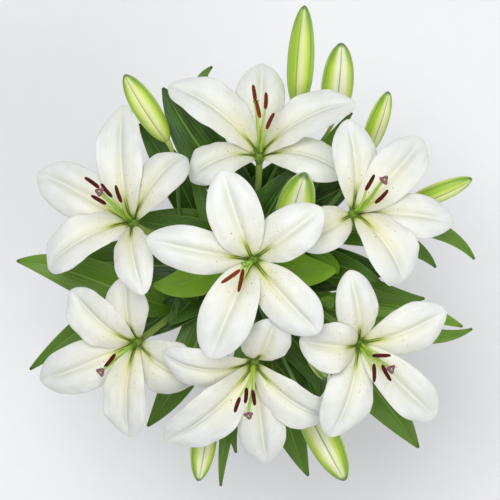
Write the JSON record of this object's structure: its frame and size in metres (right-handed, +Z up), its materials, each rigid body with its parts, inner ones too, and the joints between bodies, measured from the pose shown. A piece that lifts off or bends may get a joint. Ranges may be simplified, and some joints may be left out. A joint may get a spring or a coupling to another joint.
{
  "type": "lilies in a vase",
  "caption": "Bouquet of open white lilies with green buds and leaves, standing in a plain round ceramic vase.",
  "frame": {"origin": "middle of the underside of the vase, where it rests", "axes": "+Z up through the vase, +X to the right and +Y away from the front; the largest lily faces up over the middle"},
  "size_m": [0.4973, 0.5182, 0.5561],
  "materials": {
    "vase": "glossy",
    "tepal": "satin",
    "stamen": "matte",
    "bud": "satin",
    "leaf": "satin",
    "stem": "satin"
  },
  "bodies": {
    "root": {"bud_bottom": "bud", "bud_bottom_left": "bud", "bud_centre": "bud", "bud_lower_right": "bud", "bud_right": "bud", "bud_top": "bud", "bud_top_right": "bud", "bud_upper_left": "bud", "bud_upper_right": "bud", "leaf_behind_bud": "leaf", "leaf_bottom": "leaf", "leaf_bottom_left": "leaf", "leaf_bottom_right": "leaf", "leaf_bottom_small": "leaf", "leaf_centre_back": "leaf", "leaf_centre_left": "leaf", "leaf_left": "leaf", "leaf_lower_left_edge": "leaf", "leaf_lower_right": "leaf", "leaf_mid_left_bright": "leaf", "leaf_mid_left_dark": "leaf", "leaf_mid_right_bright": "leaf", "leaf_right": "leaf", "leaf_right_inner": "leaf", "leaf_right_low": "leaf", "leaf_right_lower_edge": "leaf", "leaf_right_tip": "leaf", "leaf_right_upper_edge": "leaf", "leaf_top_left": "leaf", "leaf_upper_left": "leaf", "leaf_upper_right_strip": "leaf", "lily_1_inner_tepals": "tepal", "lily_1_outer_tepals": "tepal", "lily_1_stamens_and_pistil": "stamen", "lily_2_inner_tepals": "tepal", "lily_2_outer_tepals": "tepal", "lily_2_stamens_and_pistil": "stamen", "lily_3_inner_tepals": "tepal", "lily_3_outer_tepals": "tepal", "lily_3_stamens_and_pistil": "stamen", "lily_4_inner_tepals": "tepal", "lily_4_outer_tepals": "tepal", "lily_4_stamens_and_pistil": "stamen", "lily_5_inner_tepals": "tepal", "lily_5_outer_tepals": "tepal", "lily_5_stamens_and_pistil": "stamen", "lily_6_inner_tepals": "tepal", "lily_6_outer_tepals": "tepal", "lily_6_stamens_and_pistil": "stamen", "lily_7_inner_tepals": "tepal", "lily_7_outer_tepals": "tepal", "lily_7_stamens_and_pistil": "stamen", "stem_1": "stem", "stem_2": "stem", "stem_3": "stem", "stem_4": "stem", "stem_5": "stem", "stem_6": "stem", "stem_7": "stem", "vase": "vase"}
  },
  "joints": []
}
